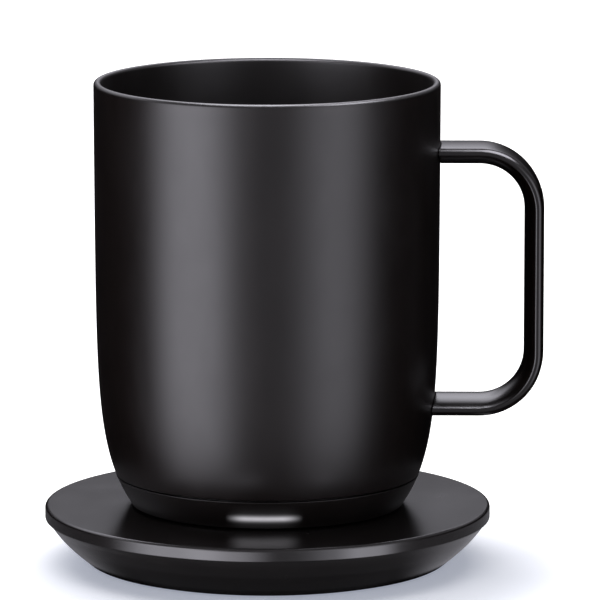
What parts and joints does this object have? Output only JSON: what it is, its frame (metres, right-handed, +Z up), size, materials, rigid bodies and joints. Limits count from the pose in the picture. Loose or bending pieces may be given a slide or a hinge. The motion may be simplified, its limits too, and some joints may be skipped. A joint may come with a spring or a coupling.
{
  "type": "self heating mug with charging coaster",
  "caption": "Double-walled black mug with a bar handle and a heated floor, standing on a round charging coaster that it lifts off.",
  "frame": {"origin": "centre of the coaster's foot pad, on the surface that it stands on", "axes": "+Z up along the mug's axis, +X towards the handle, -Y towards the mug's light"},
  "size_m": [0.1302, 0.1164, 0.1264],
  "materials": {
    "coated_steel": "satin black coating on stainless steel",
    "band_plastic": "satin black",
    "light_window": "frosted, lit white",
    "moulded_plastic": "fine matt",
    "coaster_plastic": "soft satin black",
    "frame_plastic": "matt dark grey",
    "silicone_rubber": "matt",
    "gold_contact": "gold plated",
    "steel": "bright",
    "nickel": "nickel plated",
    "aluminium": "plain",
    "copper": "etched foil",
    "circuit_board": "solder mask green",
    "battery_cell": "blue sleeve",
    "insulation": "foam",
    "sensor_bead": "epoxy bead",
    "wire_sleeve": "sleeved wire"
  },
  "bodies": {
    "coaster": {"coaster_top": "coaster_plastic", "coaster_base": "coaster_plastic", "coaster_pad": "silicone_rubber", "coaster_board": "circuit_board", "cable_gland": "silicone_rubber", "coaster_screw_1": "steel", "coaster_screw_2": "steel", "coaster_screw_3": "steel", "coaster_screw_4": "steel", "pin_barrel_inner": "nickel", "pin_barrel_outer": "nickel", "pin_spring_inner": "steel", "pin_spring_outer": "steel"},
    "mug": {"outer_shell": "coated_steel", "inner_cup": "coated_steel", "handle": "coated_steel", "base_ring": "band_plastic", "led_window": "light_window", "led_board": "circuit_board", "base_cover": "moulded_plastic", "contact_ring_inner": "gold_contact", "contact_ring_outer": "gold_contact", "base_seal": "silicone_rubber", "mug_foot_ring": "silicone_rubber", "tact_switch": "steel", "control_board": "circuit_board", "radio_module": "nickel", "chassis": "frame_plastic", "battery_cell_front": "battery_cell", "battery_cell_rear": "battery_cell", "battery_tab_left": "nickel", "battery_tab_right": "nickel", "insulation_disc": "insulation", "heater_film": "copper", "heat_spreader": "aluminium", "thermistor": "sensor_bead", "heater_lead_left": "wire_sleeve", "heater_lead_right": "wire_sleeve", "cover_screw_1": "steel", "cover_screw_2": "steel", "cover_screw_3": "steel", "cover_screw_4": "steel"},
    "power_button": {"power_button": "moulded_plastic"},
    "contact_pin_inner": {"contact_pin_inner": "gold_contact"},
    "contact_pin_outer": {"contact_pin_outer": "gold_contact"}
  },
  "joints": [
    {"name": "mug_lift", "type": "slide", "parent": "coaster", "child": "mug", "axis": [0, 0, 1], "range_m": [0, 0.09]},
    {"name": "power_button_press", "type": "slide", "parent": "mug", "child": "power_button", "axis": [0, 0, 1], "range_m": [0, 0.0008], "stiffness_N_per_m": 500, "springref_m": -0.001},
    {"name": "contact_pin_inner_press", "type": "slide", "parent": "coaster", "child": "contact_pin_inner", "axis": [0, 0, 1], "range_m": [-0.0008, 0], "stiffness_N_per_m": 400, "springref_m": 0.002, "deforming": ["pin_spring_inner"]},
    {"name": "contact_pin_outer_press", "type": "slide", "parent": "coaster", "child": "contact_pin_outer", "axis": [0, 0, 1], "range_m": [-0.0008, 0], "stiffness_N_per_m": 400, "springref_m": 0.002, "deforming": ["pin_spring_outer"]}
  ]
}
